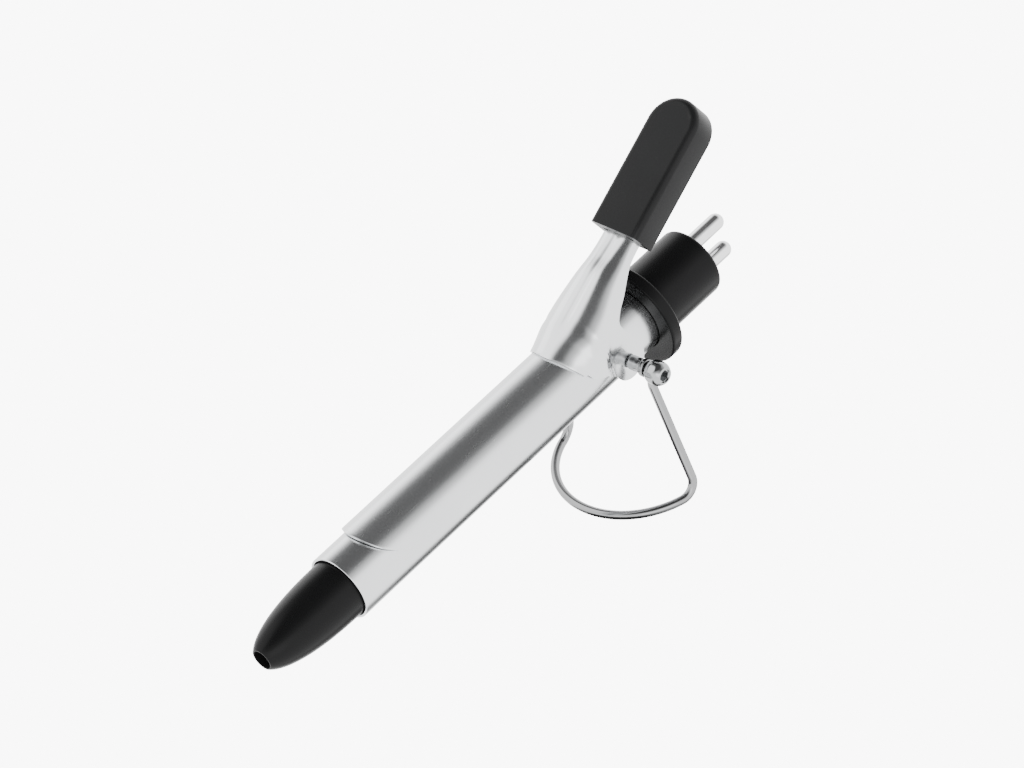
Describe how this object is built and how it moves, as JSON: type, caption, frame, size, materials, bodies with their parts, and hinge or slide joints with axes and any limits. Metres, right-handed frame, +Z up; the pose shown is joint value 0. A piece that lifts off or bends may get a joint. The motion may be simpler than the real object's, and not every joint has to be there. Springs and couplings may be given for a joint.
{
  "type": "curling iron clamp barrel head",
  "caption": "Heated metal barrel with a sprung hair clamp, thumb lever, black nose, plug-in base with contact pins, and a swinging wire rest stand.",
  "frame": {"origin": "bottom centre of the bounding box, on the surface that the stand's foot rests on", "axes": "+X along the barrel towards the contact pins, +Y towards the side with the low pivot screw, +Z up"},
  "size_m": [0.1926, 0.0501, 0.094],
  "materials": {
    "barrel_steel": "satin",
    "clamp_steel": "satin",
    "plain_steel": "plain",
    "stand_chrome": "polished",
    "screw_chrome": "polished",
    "pin_plate": "plated",
    "nose_black": "satin gloss",
    "plug_black": "satin",
    "pad_black": "satin",
    "ceramic": "unglazed",
    "mica": "sheet",
    "resistance_wire": "oxidised",
    "spreader_aluminium": "extruded",
    "brass": "turned",
    "red_insulation": "silicone",
    "white_insulation": "silicone"
  },
  "bodies": {
    "head": {"barrel_tube": "barrel_steel", "nose_cap": "nose_black", "nose_screw": "plain_steel", "nose_nut": "plain_steel", "base_plug": "plug_black", "contact_pin_upper": "pin_plate", "contact_pin_lower": "pin_plate", "pin_nut_upper": "brass", "pin_nut_lower": "brass", "solder_tag_upper": "brass", "solder_tag_lower": "brass", "front_bush": "ceramic", "heater_former": "ceramic", "rear_bush": "ceramic", "heater_winding": "resistance_wire", "mica_sleeve": "mica", "heat_spreader_upper": "spreader_aluminium", "heat_spreader_lower": "spreader_aluminium", "thermal_fuse": "plain_steel", "fuse_lead": "red_insulation", "live_lead": "red_insulation", "neutral_lead": "white_insulation", "pivot_nut_near": "plain_steel", "pivot_nut_far": "plain_steel", "pivot_screw_near": "screw_chrome", "pivot_screw_far": "screw_chrome", "stand_washer_far": "plain_steel"},
    "clamp": {"clamp_spoon": "clamp_steel", "clamp_lever": "clamp_steel", "thumb_pad": "pad_black", "clamp_spring": "plain_steel"},
    "stand": {"stand_wire": "stand_chrome"}
  },
  "joints": [
    {"name": "clamp_pivot", "type": "hinge", "parent": "head", "child": "clamp", "pos_m": [0.03975, 0, 0.0448], "axis": [0, 1, 0], "range_deg": [0, 18], "stiffness_Nm_per_rad": 0.25, "springref_deg": -20.05, "deforming": ["clamp_spring"]},
    {"name": "stand_swing", "type": "hinge", "parent": "head", "child": "stand", "pos_m": [0.03975, 0, 0.0448], "axis": [0, 1, 0], "range_deg": [-70, 45]}
  ]
}
